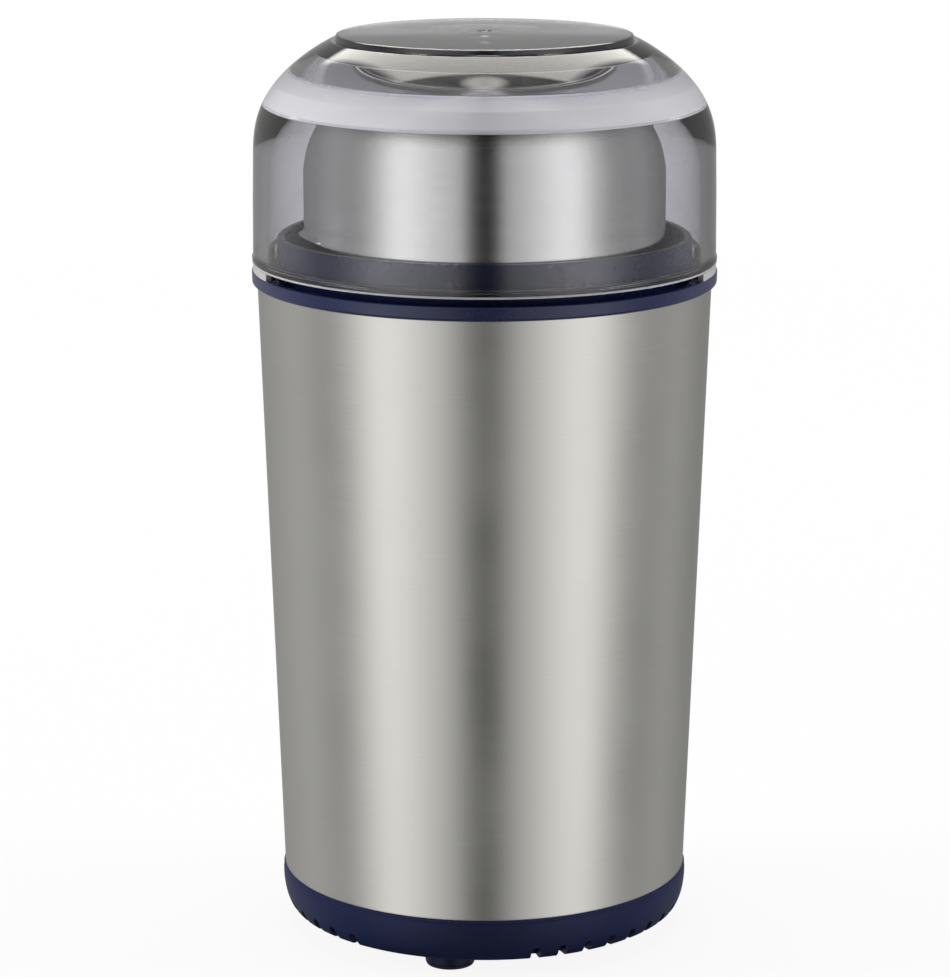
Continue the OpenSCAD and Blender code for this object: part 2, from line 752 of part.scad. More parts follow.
module press_rods() color(steel) both_sides() {
    translate([prong_r, 0, jog_z + 1])
        cylinder(d = rod_d, h = tab_top_z - jog_z - 1);
    translate([rod_r - 1.2, -1.6, jog_z]) cube([prong_r - rod_r + 2.3, 3.2, jog_h]);
    translate([rod_r, 0, yoke_z]) cylinder(d = rod_d, h = jog_z - yoke_z + 1);
}

module press_yoke() color(white) difference() {
    union() {
        tube(frame_r + 4.2, frame_r + 1.2, yoke_h, yoke_z);
        both_sides()
            translate([frame_r + 2, -3, yoke_z])
                cube([rod_r - frame_r - 0.3, 6, yoke_h]);
    }
    both_sides()
        translate([rod_r, 0, yoke_z - 1]) cylinder(d = rod_d, h = yoke_h + 2);
}

// -------------------------------------------------------------------- lid

draft = 0.47;                      // how much the wall leans in over its height
arc_r = 37.46;                     // horizontal semi-axis of the shoulder
arc_h = lid_h - lid_straight + 2.95;
pad_inset = 18.3;                  // from the lid's side in to its pad's edge
pad_r = lid_r - pad_inset;
crown = 0.6;
wall_top_r = lid_r - draft;
wall_top_z = lid_z + lid_straight;

// Angle on the shoulder's ellipse at which it reaches a radius
function shoulder_angle(radius, semi) =
    acos((radius - wall_top_r + arc_r) / semi);

// Height of the shoulder's inside above a radius
function inside_z(radius) =
    wall_top_z + (arc_h - lid_wall) * sin(shoulder_angle(radius, arc_r - lid_wall));

pad_edge_z = lid_top - crown;
flute_r = pad_r + 1.2;
ceiling_z = pad_edge_z - lid_wall - 0.4;
ceiling_r = wall_top_r - arc_r + (arc_r - lid_wall)
            * cos(asin((ceiling_z - wall_top_z) / (arc_h - lid_wall)));

module lid_shell() lathe(concat(
    [[lid_r - 2.3, lid_z], [lid_r - 0.7, lid_z]],
    arc(lid_r - 0.75, lid_z + 0.75, 0.75, 0.75, -80, 10, 4),
    [[lid_r - 0.25, lid_z + 2.6], [lid_r - 0.1, lid_z + 3.2]],
    arc(wall_top_r - arc_r, wall_top_z, arc_r, arc_h, 0,
        shoulder_angle(flute_r, arc_r), 14),
    [[pad_r, pad_edge_z - 0.6], [pad_r - 0.15, pad_edge_z - 0.15],
     [pad_r - 0.6, pad_edge_z], [pad_r * 0.55, pad_edge_z + crown * 0.7],
     [0, lid_top], [0, ceiling_z]],
    arc(wall_top_r - arc_r, wall_top_z, arc_r - lid_wall, arc_h - lid_wall,
        shoulder_angle(ceiling_r, arc_r - lid_wall), 0, 12),
    [[lid_r - 2.5, lid_z + 1]]));

rib_r = bowl_r - 1.7;              // rib that carries the seal
rib_t = 1.6;
seal_z = rim_z + press_travel + 0.3;
seal_h = 2.8;
rib_z = seal_z + 1.4;
lip_r = bowl_r + 1.6;              // inside of the seal's lip, round the rim
lip_z = rim_z - 0.1;

module press_tabs() both_sides() {
    sector(tab_r, tab_in, tab_depth + 1, tab_top_z, 90, tab_angle);
    sector(tab_in + 1.5, foot_in, tab_depth + 5, tab_top_z, 90, foot_angle);
}

module clear_lid() color(clear) union() {
    lid_shell();
    press_tabs();
    tube(rib_r + rib_t / 2, rib_r - rib_t / 2, inside_z(rib_r) + 1 - rib_z, rib_z);
}

module lid_seal() color(silicone) difference() {
    lathe([[rib_r - 2, seal_z + 0.4], [rib_r - 1.6, seal_z], [lip_r, seal_z],
           [lip_r, lip_z], [lip_r + 2.2, lip_z], [lip_r + 2.7, lip_z + 0.5],
           [lip_r + 1.1, seal_z + seal_h], [rib_r - 2, seal_z + seal_h]]);
    tube(rib_r + rib_t / 2, rib_r - rib_t / 2, seal_h, rib_z);
}

// ------------------------------------------------------------------ nodes

base_cover();
rubber_feet();
base_screws();
outer_shell();
top_collar();
collar_screws();
motor_housing();
rubber_mounts();
lower_bracket();
upper_bracket();
lower_bearing();
upper_bearing();
stator_core();
field_coils();
motor_screws();
brush_holders();
carbon_brushes();
micro_switch();
switch_screws();
noise_capacitor();
terminal_block();
inner_leads();
cord_gland();
return_springs();
armature_shaft();
armature_core();
armature_winding();
commutator();
cooling_fan();
drive_dog();
grinding_bowl();
bowl_carrier();
blade_bush();
bush_washer();
bush_nut();
blade_spindle();
driven_dog();
blade();
blade_nut();
press_rods();
press_yoke();
switch_button();
clear_lid();
lid_seal();
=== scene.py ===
# Electric spice grinder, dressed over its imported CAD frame.
# Metres, +Z up, front at -Y. Outlines are (radius, height) in millimetres.
import json
import math

import bmesh
import bpy
from mathutils import Matrix, Vector


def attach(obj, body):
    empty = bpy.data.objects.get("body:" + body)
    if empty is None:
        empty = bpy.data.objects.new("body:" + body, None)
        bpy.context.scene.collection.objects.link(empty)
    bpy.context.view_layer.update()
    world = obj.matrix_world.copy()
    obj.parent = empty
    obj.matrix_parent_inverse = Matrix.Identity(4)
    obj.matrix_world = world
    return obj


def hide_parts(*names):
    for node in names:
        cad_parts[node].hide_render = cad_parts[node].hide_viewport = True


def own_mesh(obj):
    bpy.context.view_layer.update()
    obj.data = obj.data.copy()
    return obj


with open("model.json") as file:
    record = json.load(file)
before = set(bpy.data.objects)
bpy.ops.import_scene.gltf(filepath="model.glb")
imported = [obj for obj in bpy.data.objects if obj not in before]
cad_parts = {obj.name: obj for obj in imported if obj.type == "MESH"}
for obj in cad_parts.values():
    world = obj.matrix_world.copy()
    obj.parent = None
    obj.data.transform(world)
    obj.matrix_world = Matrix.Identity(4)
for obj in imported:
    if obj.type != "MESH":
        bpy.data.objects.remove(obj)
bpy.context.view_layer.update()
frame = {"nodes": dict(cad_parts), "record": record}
nodes = frame["nodes"]
scene = bpy.context.scene

MM = 0.001
ROUND, FINE_ROUND = 320, 384        # facets round a turned piece
HAIR = 0.03                         # left between pieces that meet

# ------------------------------------------------------------------ sizes, mm
BASE_Z, SHELL_Z, COLLAR_Z = 4.0, 13.6, 143.9
WELL_Z, BOWL_Z, RIM_Z = 128.0, 135.0, 181.5
FLANGE_TOP, RING_TOP = 146.95, 154.95
LID_Z, WALL_TOP, LID_TOP = 148.55, 172.3, 197.85
LID_R, BOWL_R, PAD_R = 50.1, 38.9, 31.8
LID_FOOT, SEAL_TOP = LID_Z + 0.5, RIM_Z + 6.1
ROD_R = LID_R - 5.9                 # press rods' springs, from the axis
SHELL_FOOT_R, SHELL_TOP_R, SHEET = 44.35, 49.0, 0.6
# Headings are in degrees from the front, right is positive
LUGS = (-71, 109, 175)      # pressed ledges on the bowl
ARMS = (-71, 49, 169)       # the bowl carrier's arms, which the collar has windows for
KEYS = (-12, 142, 228)      # keys inside the collar's ring
TABS = (90, 270)            # press tabs at the lid's sides
FOOT_TURN, FOOT_RING, FOOT_R = -13, 33.0, 5.4
POST_RING, POST_R, SCREW_R, HEAD_R = 21, 4.4, 1.6, 3.1      # base screws
WELL_SCREWS = 27                                            # collar screws' ring
PUSH_FOOT, TAB_FOOT, POCKET_FLOOR, POCKET_TOP = 147.2, 146.35, 144.85, 151
VENTS, VENT_PITCH, VENT_W, VENT_H, VENT_DEPTH = 9, 8.1, 2.1, 2.9, 5.4


# ---------------------------------------------------------------- mesh making
def rounded(corners, steps=4):
    """Outline whose corners (r, z, radius) are eased into arcs."""
    outline = []
    count = len(corners)
    for i, (r, z, ease) in enumerate(corners):
        here = Vector((r, z))
        if ease <= 0:
            outline.append((r, z))
            continue
        back = Vector(corners[i - 1][:2]) - here
        on = Vector(corners[(i + 1) % count][:2]) - here
        turn = back.angle(on)
        reach = min(ease / math.tan(turn / 2), 0.48 * back.length, 0.48 * on.length)
        start, end = here + back.normalized() * reach, here + on.normalized() * reach
        for k in range(steps + 1):
            t = k / steps
            outline.append(tuple(start * (1 - t) ** 2 + here * 2 * t * (1 - t)
                                 + end * t ** 2))
    return outline


def arc(centre, reach, first, last, steps):
    """Points on an ellipse in the (r, z) plane."""
    return [(centre[0] + reach[0] * math.cos(math.radians(a)),
             centre[1] + reach[1] * math.sin(math.radians(a)))
            for a in (first + (last - first) * k / steps for k in range(steps + 1))]


def piece(name, points, faces, crease=32):
    """A smooth mesh object from points in millimetres."""
    mesh = bpy.data.meshes.new(name)
    mesh.from_pydata([(x * MM, y * MM, z * MM) for x, y, z in points], [], faces)
    work = bmesh.new()
    work.from_mesh(mesh)
    bmesh.ops.remove_doubles(work, verts=work.verts, dist=1e-7)
    bmesh.ops.dissolve_degenerate(work, dist=1e-8, edges=work.edges)
    bmesh.ops.recalc_face_normals(work, faces=work.faces)
    if work.calc_volume(signed=True) < 0:
        bmesh.ops.reverse_faces(work, faces=work.faces)
    work.to_mesh(mesh)
    work.free()
    mesh.shade_smooth()
    mesh.set_sharp_from_angle(angle=math.radians(crease))
    made = bpy.data.objects.new(name, mesh)
    scene.collection.objects.link(made)
    return made


def held(outline, closed, hold=0.3, bend=3.0):
    """Adds points close to each bend, so that long walls stay true when smoothed."""
    spots = [Vector(p) for p in outline]
    count = len(spots)
    bends = []
    for i in range(count):
        back, on = spots[i] - spots[i - 1], spots[(i + 1) % count] - spots[i]
        whole = back.length > 1e-6 and on.length > 1e-6
        bends.append(math.degrees(back.angle(on)) if whole else 0)
    out = []
    for i in range(count):
        out.append(tuple(spots[i]))
        j = (i + 1) % count
        if i == count - 1 and not closed:
            break
        span = spots[j] - spots[i]
        if span.length > 2.6 * hold:
            if bends[i] > bend:
                out.append(tuple(spots[i] + span.normalized() * hold))
            if bends[j] > bend:
                out.append(tuple(spots[j] - span.normalized() * hold))
    return out


def turned(name, outline, around=ROUND, press=None, crease=32, closed=True):
    """A solid of revolution; press(angle, r, z) may push a point in or out."""
    outline = held(outline, closed)
    points, faces = [], []
    rows = len(outline)
    for k in range(around):
        angle = 360 * k / around
        c, s = math.cos(math.radians(angle)), math.sin(math.radians(angle))
        for r, z in outline:
            if press:
                r, z = press(angle, r, z)
            points.append((r * c, r * s, z))
    for k in range(around):
        a, b = k * rows, (k + 1) % around * rows
        for i in range(rows if closed else rows - 1):
            j = (i + 1) % rows
            faces.append((a + i, b + i, b + j, a + j))
    return piece(name, points, faces, crease)


def curved_block(name, outer, inner, low, high, heading, width, ease=0.3, steps=24):
    """Block bent round the axis; heading in degrees from the front."""
    section = rounded([(inner, low, ease), (outer, low, ease),
                       (outer, high, ease), (inner, high, ease)], 3)
    rows = len(section)
    middle = sum(r for r, z in section) / rows
    centre_z = (low + high) / 2
    # the ends draw in over a short lip, so that their edges are eased too
    turns = [heading - 90 - width / 2 + width * k / steps for k in range(steps + 1)]
    lip, drawn_in = math.degrees(ease / middle), 1 - 1.1 * ease / (high - low)
    slices = ([(turns[0], drawn_in), (turns[0] + lip, 1.0)]
              + [(angle, 1.0) for angle in turns[1:-1]]
              + [(turns[-1] - lip, 1.0), (turns[-1], drawn_in)])
    points, faces = [], []
    for angle, fill in slices:
        c, s = math.cos(math.radians(angle)), math.sin(math.radians(angle))
        for r, z in section:
            rr = middle + (r - middle) * fill
            zz = centre_z + (z - centre_z) * fill
            points.append((rr * c, rr * s, zz))
    for k in range(len(slices) - 1):
        for i in range(rows):
            j = (i + 1) % rows
            faces.append((k * rows + i, (k + 1) * rows + i, (k + 1) * rows + j,
                          k * rows + j))
    faces.append(tuple(range(rows)))
    faces.append(tuple(len(points) - 1 - i for i in range(rows)))
    return piece(name, points, faces, 40)


def stood_at(made, x, y):
    """Moves a piece in plan."""
    made.data.transform(Matrix.Translation((x * MM, y * MM, 0)))
    return made


def pin(name, radius, low, high, x, y, sides=48):
    """An upright round pin, used as a cutter."""
    outline = [(0, low), (radius, low), (radius, high), (0, high)]
    return stood_at(turned(name, outline, sides, closed=False), x, y)


def three_round(radius, heading):
    """Places in plan of three equal features round the axis, the first at heading."""
    for i in range(3):
        a = math.radians(heading + 120 * i - 90)
        yield radius * math.cos(a), radius * math.sin(a)


def cut(body, cutters, how="DIFFERENCE"):
    """Joins the cutters to the body, or takes them away, and drops them."""
    for cutter in cutters:
        step = body.modifiers.new("cut", "BOOLEAN")
        step.operation, step.object, step.solver = how, cutter, "MANIFOLD"
    bpy.context.view_layer.update()
    whole = bpy.data.meshes.new_from_object(
        body.evaluated_get(bpy.context.evaluated_depsgraph_get()))
    body.modifiers.clear()
    old, body.data = body.data, whole
    bpy.data.meshes.remove(old)
    for cutter in cutters:
        bpy.data.objects.remove(cutter)
    body.data.shade_smooth()
    body.data.set_sharp_from_angle(angle=math.radians(32))
    return body


def merged(name, blocks):
    """Several separate blocks as one object."""
    points, faces = [], []
    for block in blocks:
        first = len(points)
        points += [tuple(v.co / MM) for v in block.data.vertices]
        faces += [tuple(first + i for i in face.vertices) for face in block.data.polygons]
        bpy.data.objects.remove(block)
    return piece(name, points, faces, 40)


# ------------------------------------------------------------------ materials
def srgb(code):
    """An sRGB hex colour as linear RGBA."""
    parts = [int(code[i:i + 2], 16) / 255 for i in (1, 3, 5)]
    return tuple(c / 12.92 if c <= 0.04045 else ((c + 0.055) / 1.055) ** 2.4
                 for c in parts) + (1.0,)


def add(tree, kind, inputs=None, **settings):
    """A node with its settings; an input that is a socket is linked."""
    node = tree.nodes.new("ShaderNode" + kind)
    for key, value in settings.items():
        setattr(node, key, value)
    for key, value in (inputs or {}).items():
        if isinstance(value, bpy.types.NodeSocket):
            tree.links.new(value, node.inputs[key])
        else:
            node.inputs[key].default_value = value
    return node


def finish(name, colour, rough, grain=(0.4, 0.4, 0.4), shade=0.06, rough_play=0.05,
           relief=0.01, blotch=9.0, lines=None, **shader):
    """A finish whose colour, gloss and relief vary with a grain of a real size.

    grain is the size of the grain along x, y and z in mm, relief its height in mm,
    and lines the pitch in mm of fine rings along the height."""
    made = bpy.data.materials.new(name)
    made.use_nodes = True
    tree = made.node_tree
    tree.nodes.clear()
    place = add(tree, "TexCoord").outputs["Object"]
    scaled = add(tree, "Mapping", {"Vector": place,
                                   "Scale": tuple(1 / (g * MM) for g in grain)})
    fine = add(tree, "TexNoise", {"Vector": scaled.outputs[0], "Scale": 1.0,
                                  "Detail": 3.0, "Roughness": 0.55}).outputs["Fac"]
    broad = add(tree, "TexNoise", {"Vector": place, "Scale": 1 / (blotch * MM),
                                   "Detail": 2.0}).outputs["Fac"]
    if lines:
        wave = add(tree, "TexWave", {"Vector": place, "Scale": 0.05 / (lines * MM),
                                     "Distortion": 0.4}, bands_direction="Z").outputs["Fac"]
        fine = add(tree, "Math", {0: fine, 1: wave}, operation="MULTIPLY").outputs[0]
    both = add(tree, "Math", {0: fine, 1: 0.65, 2: broad}, operation="MULTIPLY_ADD")
    dark, light = [tuple(c * k for c in srgb(colour)[:3]) + (1.0,)
                   for k in (1 - shade, 1 + shade)]
    tone = add(tree, "ValToRGB", {"Fac": both.outputs[0]})
    tone.color_ramp.elements[0].position, tone.color_ramp.elements[0].color = 0.55, dark
    tone.color_ramp.elements[1].position, tone.color_ramp.elements[1].color = 1.1, light
    gloss = add(tree, "MapRange", {"Value": both.outputs[0], "From Min": 0.55,
                                   "From Max": 1.1, "To Min": max(rough - rough_play, 0),
                                   "To Max": rough + rough_play})
    bump = add(tree, "Bump", {"Height": fine, "Strength": 1.0, "Distance": relief * MM})
    surface = add(tree, "BsdfPrincipled", {"Base Color": tone.outputs[0],
                                           "Roughness": gloss.outputs[0],
                                           "Normal": bump.outputs[0], **shader})
    add(tree, "OutputMaterial", {"Surface": surface.outputs[0]})
    return made


def brushed_round(made, amount):
    """Brush lines run round the piece, so each highlight is drawn out along its height."""
    tree = made.node_tree
    surface = next(n for n in tree.nodes if n.type == "BSDF_PRINCIPLED")
    surface.inputs["Anisotropic"].default_value = amount
    surface.inputs["Anisotropic Rotation"].default_value = 0.25
    way = add(tree, "Tangent", direction_type="RADIAL", axis="Z")
    tree.links.new(way.outputs[0], surface.inputs["Tangent"])
    return made


# Ferritic stainless sheet, belt-brushed round the can: pale warm grey, with short
# level lines that spread each highlight up and down. Real lines are about 0.1 mm
# apart; drawn at 0.3 mm, because finer ones don't show.
STEEL_BRUSHED = brushed_round(finish(
    "stainless_brushed_round", "#cdccc8", 0.36, grain=(16, 16, 0.30), shade=0.05,
    rough_play=0.05, relief=0.004, blotch=26, Metallic=1.0), 0.5)
# Stainless bowl, deep drawn and spun smooth: brighter, with mirror-like bands
# broken by very fine rings.
STEEL_SPUN = brushed_round(finish(
    "stainless_deep_drawn", "#ebeae7", 0.15, grain=(11, 11, 0.28), shade=0.035,
    rough_play=0.04, relief=0.0012, blotch=18, Metallic=1.0), 0.45)
# Steel turned or pressed and zinc plated: bright, with tool rings.
STEEL_PLATED = finish(
    "steel_zinc_plated", "#c9cac9", 0.24, grain=(3, 3, 0.25), shade=0.06,
    rough_play=0.07, relief=0.004, Metallic=1.0)
# Navy ABS, injection moulded in a fine-eroded tool: a satin skin that carries soft
# pale bands.
NAVY_ABS = finish(
    "abs_navy_moulded_satin", "#161d43", 0.27, grain=(1.2, 1.2, 1.2), shade=0.03,
    rough_play=0.02, relief=0.0002, blotch=14, **{"IOR": 1.54, "Specular IOR Level": 0.42})
# The same ABS from a coarser tool, for the foot of the object: duller, and its colour
# painted darker than the collar's as shade near the floor.
NAVY_MATT_SHADED = finish(
    "abs_navy_matt_painted_shade", "#12183a", 0.42, grain=(1.2, 1.2, 1.2), shade=0.03,
    rough_play=0.03, relief=0.0002, blotch=18, **{"IOR": 1.54, "Specular IOR Level": 0.16})
# Nitrile rubber, press moulded: black with a dry bloom.
RUBBER = finish(
    "rubber_nitrile_moulded", "#1b1b1d", 0.62, grain=(0.5, 0.5, 0.5), shade=0.18,
    rough_play=0.09, relief=0.02, IOR=1.52)
# Glass-filled nylon, moulded: dark, with fibres that dull its skin.
NYLON_DARK = finish(
    "nylon_glass_filled", "#34353a", 0.5, grain=(0.3, 1.2, 0.3), shade=0.16,
    rough_play=0.08, relief=0.02, IOR=1.53)
# Acetal and phenolic small parts, moulded black: smooth with a low sheen.
ACETAL_BLACK = finish(
    "acetal_black_moulded", "#161619", 0.36, grain=(0.5, 0.5, 0.5), shade=0.12,
    rough_play=0.06, relief=0.008, IOR=1.48)
# Silicon steel sheets 0.5 mm thick, stamped and stacked: each edge shows as a line.
LAMINATIONS = finish(
    "silicon_steel_stacked", "#6f7176", 0.42, grain=(2, 2, 0.5), shade=0.28,
    rough_play=0.1, relief=0.05, lines=0.5, Metallic=0.85)
# Enamelled copper wire about 0.4 mm thick, wound in layers: orange-brown, glossy.
COPPER_WIRE = finish(
    "copper_wire_enamelled", "#a8532a", 0.30, grain=(6, 6, 0.4), shade=0.3,
    rough_play=0.08, relief=0.09, lines=0.45, Metallic=0.75)
# Sintered bronze, oil filled: small open pores.
BRONZE = finish(
    "bronze_sintered", "#a97d46", 0.44, grain=(0.3, 0.3, 0.3), shade=0.22,
    rough_play=0.1, relief=0.02, Metallic=0.9)
# Electrographite, pressed and fired: near-black with a soft grey shine.
GRAPHITE = finish(
    "electrographite", "#242426", 0.46, grain=(0.25, 0.25, 0.25), shade=0.25,
    rough_play=0.1, relief=0.015, Metallic=0.3)
# Natural nylon, moulded: milky white, light goes a little way in.
NYLON_WHITE = finish(
    "nylon_natural_moulded", "#e6e2d8", 0.40, grain=(0.6, 0.6, 0.6), shade=0.04,
    rough_play=0.06, relief=0.01,
    **{"IOR": 1.53, "Subsurface Weight": 0.25, "Subsurface Radius": (0.9, 0.8, 0.6),
       "Subsurface Scale": 0.001})
# Film capacitor, dipped in epoxy: ochre-brown and glossy.
EPOXY = finish(
    "epoxy_dipped", "#7d5234", 0.24, grain=(1.2, 1.2, 1.2), shade=0.1,
    rough_play=0.05, relief=0.03, IOR=1.55)
# PVC lead jacket, extruded: smooth, with faint draw lines.
PVC = finish(
    "pvc_extruded", "#3a4a86", 0.34, grain=(0.4, 0.4, 3), shade=0.12,
    rough_play=0.06, relief=0.01, IOR=1.53)

# Silicone rubber, liquid moulded: milky, lets some light through, soft shine.
SILICONE = finish(
    "silicone_translucent", "#f4f4f2", 0.34, grain=(0.5, 0.5, 0.5), shade=0.02,
    rough_play=0.05, relief=0.006,
    **{"IOR": 1.42, "Subsurface Weight": 0.3, "Subsurface Radius": (1.0, 1.0, 1.1),
       "Subsurface Scale": 0.002})


def clear_styrene():
    """Styrene-acrylonitrile, injection moulded clear with a smoke tint: glass-like
    gloss, darker and faintly violet where the light goes a long way through it."""
    made = bpy.data.materials.new("san_clear_smoke")
    made.use_nodes = True
    tree = made.node_tree
    tree.nodes.clear()
    place = add(tree, "TexCoord").outputs["Object"]
    # Flow of the moulding: swells about 12 mm across and a few micrometres high
    swell = add(tree, "TexNoise", {"Vector": place, "Scale": 1 / (12 * MM),
                                   "Detail": 1.0})
    # Wiping leaves broad faint patches where the gloss is a little lower
    wiped = add(tree, "TexNoise", {"Vector": place, "Scale": 1 / (22 * MM),
                                   "Detail": 1.0})
    gloss = add(tree, "MapRange", {"Value": wiped.outputs["Fac"], "From Min": 0.4,
                                   "From Max": 0.7, "To Min": 0.0, "To Max": 0.004})
    # Round the gate the melt froze in low waves, 3 mm apart and fading over 14 mm
    centred = add(tree, "Mapping", {"Vector": place, "Location": (0, 0, -LID_TOP * MM)})
    reach = add(tree, "VectorMath", {0: centred.outputs[0]}, operation="LENGTH")
    near = add(tree, "MapRange", {"Value": reach.outputs["Value"], "From Min": 2 * MM,
                                  "From Max": 14 * MM, "To Min": 1.0, "To Max": 0.0})
    frozen = add(tree, "TexNoise", {"Vector": place, "Scale": 1 / (3 * MM),
                                    "Detail": 1.0, "Distortion": 1.2})
    waves = add(tree, "Math", {0: frozen.outputs["Fac"], 1: near.outputs[0]},
                operation="MULTIPLY")
    height = add(tree, "Math", {0: waves.outputs[0], 1: 3.0, 2: swell.outputs["Fac"]},
                 operation="MULTIPLY_ADD")
    bump = add(tree, "Bump", {"Height": height.outputs[0], "Strength": 0.5,
                              "Distance": 0.02 * MM})
    # Seen edge-on, more of the light is lost in each skin of the wall
    edge_on = add(tree, "LayerWeight", {"Blend": 0.5, "Normal": bump.outputs[0]})
    tint = add(tree, "ValToRGB", {"Fac": edge_on.outputs["Facing"]})
    tint.color_ramp.elements[0].color = srgb("#f8f8fa")
    tint.color_ramp.elements[1].color = srgb("#b4b4b9")
    middle = tint.color_ramp.elements.new(0.45)
    middle.color = srgb("#dedde1")
    glass = add(tree, "BsdfPrincipled",
                {"Base Color": tint.outputs[0], "Roughness": gloss.outputs[0],
                 "IOR": 1.57, "Transmission Weight": 1.0,
                 "Normal": bump.outputs[0]})
    # Lamps shine straight through the wall onto what stands inside
    light_path = add(tree, "LightPath")
    lamp_way = add(tree, "Math", {0: light_path.outputs["Is Shadow Ray"],
                                  1: light_path.outputs["Is Diffuse Ray"]},
                   operation="MAXIMUM")
    through = add(tree, "BsdfTransparent", {"Color": srgb("#f2f2f6")})
    surface = add(tree, "MixShader", {0: lamp_way.outputs[0], 1: glass.outputs[0],
                                      2: through.outputs[0]})
    # Absorption per metre: a wall of 3.5 mm lets about 86% through
    depth = add(tree, "VolumeAbsorption", {"Color": srgb("#acacb4"), "Density": 75.0})
    add(tree, "OutputMaterial", {"Surface": surface.outputs[0],
                                 "Volume": depth.outputs[0]})
    return made


CLEAR = clear_styrene()
# The same styrene made milky and matt on the lid's foot ring and the tabs' outer skin: a
# painted highlight, standing in for the bright lines that refraction and reflection give
# these clear edges.
STYRENE_PAINTED_HIGHLIGHT = finish(
    "san_edge_painted_highlight", "#b4b5b4", 0.30, grain=(0.4, 0.4, 0.4), shade=0.05,
    rough_play=0.08, relief=0.01,
    **{"IOR": 1.57, "Transmission Weight": 0.15})

BY_SLOT = {
    "navy_plastic": NAVY_ABS, "brushed_shell": STEEL_BRUSHED, "bowl_steel": STEEL_SPUN,
    "bright_steel": STEEL_PLATED, "clear_plastic": CLEAR, "silicone": SILICONE,
    "black_rubber": RUBBER, "dark_plastic": NYLON_DARK, "black_plastic": ACETAL_BLACK,
    "laminations": LAMINATIONS, "copper_wire": COPPER_WIRE, "bronze": BRONZE,
    "carbon": GRAPHITE, "white_plastic": NYLON_WHITE, "capacitor_case": EPOXY,
    "lead_jacket": PVC,
}
slot_of = {part["node"]: part["material_slot"] for part in frame["record"]["subparts"]}


def dress(made, body, *stands_for, skin=None):
    """Gives a piece its body, its finish and the CAD nodes it stands for."""
    slot = slot_of[stands_for[0]]
    made.data.materials.clear()
    made.data.materials.append(skin or BY_SLOT[slot])
    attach(made, body)
    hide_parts(*stands_for)
    return made


for node, part in nodes.items():
    part.data.materials.clear()
    part.data.materials.append(BY_SLOT[slot_of[node]])


# ---------------------------------------------------------------- clear lid
ARC_R, ARC_H = 37.46, 28.5          # the shoulder's ellipse
ARC_BULGE, ARC_RISE = 0.45, 23.7    # how far it bulges, and over what height
ARC_MID = LID_R - 0.47 - ARC_R
FLUTE_R = PAD_R + 1.2               # where the shoulder meets the pad
PAD_EDGE = LID_TOP - 0.6
PAD_THICK = 5.3


def lid_outline():
    """Section of the clear lid, from its foot over the top and back down inside."""
    top = math.degrees(math.acos((FLUTE_R - ARC_MID) / ARC_R))
    outside = rounded([(LID_R - 2.9, LID_FOOT, 0.15), (LID_R - 0.02, LID_FOOT, 0.15),
                       (LID_R, LID_Z + 1.3, 0.35), (LID_R - 0.22, LID_Z + 1.6, 0.3),
                       (LID_R - 0.3, LID_Z + 14, 0)], 5)
    outside += [(r + ARC_BULGE * math.sin(math.pi * (z - WALL_TOP) / ARC_RISE) ** 2, z)
                for r, z in arc((ARC_MID, WALL_TOP), (ARC_R, ARC_H), 0, top, 40)]
    flute_z = outside[-1][1]
    outside += [(PAD_R + 0.25, flute_z + 0.02), (PAD_R + 0.02, flute_z + 0.2),
                (PAD_R, PAD_EDGE - 0.45), (PAD_R - 0.12, PAD_EDGE - 0.14),
                (PAD_R - 0.4, PAD_EDGE)]
    outside += [(PAD_R * k, PAD_EDGE + 0.6 * (1 - k * k)) for k in
                (0.9, 0.75, 0.6, 0.45, 0.3, 0.18, 0.1)]
    # gate mark: a low ring and a dimple where the runner was cut off
    outside += [(2.3, LID_TOP - 0.03), (1.9, LID_TOP), (1.5, LID_TOP - 0.05),
                (1.2, LID_TOP - 0.45), (0.5, LID_TOP - 0.55), (0, LID_TOP - 0.3)]
    # inside: a flat ceiling, a cone, a seat that holds the seal, then a straight wall
    ceiling = PAD_EDGE - PAD_THICK
    inside = rounded([
        (0, ceiling, 0), (PAD_R + 3.4, ceiling, 0.4),
        (LID_R - 10.0, SEAL_TOP + 0.2, 0.4), (LID_R - 10.2, SEAL_TOP - 0.6, 0.1),
        (LID_R - 7.0, RIM_Z + 4.0, 0.5), (LID_R - 4.6, RIM_Z + 0.9, 0.3),
        (LID_R - 4.0, RIM_Z + 0.1, 0.3), (LID_R - 3.7, RIM_Z - 12, 0),
        (LID_R - 3.3, LID_Z + 1.0, 0.3)], 5)
    return outside + inside


lid = turned("lid_shell", lid_outline(), around=FINE_ROUND, crease=28)
push_blocks = [curved_block("push", LID_R - 1.6, LID_R - 4.9, PUSH_FOOT, LID_Z + 4, side,
                            14, 0.35) for side in TABS]
dress(cut(lid, push_blocks, "UNION"), "lid", "clear_lid")
# The tabs' outer skin is in the milky finish, a painted highlight
tabs = [curved_block("tab", LID_R - 0.15, LID_R - 1.6, TAB_FOOT, LID_Z - HAIR, side, 44,
                     0.35) for side in TABS]
dress(merged("lid_tabs", tabs), "lid", "clear_lid", skin=STYRENE_PAINTED_HIGHLIGHT)
# A thin ring at the lid's foot, in the milky finish, a painted highlight
edge = turned("lid_edge", rounded([
    (LID_R - 2.5, LID_Z, 0.2), (LID_R - 0.05, LID_Z, 0.4), (LID_R, LID_FOOT - HAIR, 0.2),
    (LID_R - 2.5, LID_FOOT - HAIR, 0.2)], 5), around=FINE_ROUND)
dress(edge, "lid", "clear_lid", skin=STYRENE_PAINTED_HIGHLIGHT)

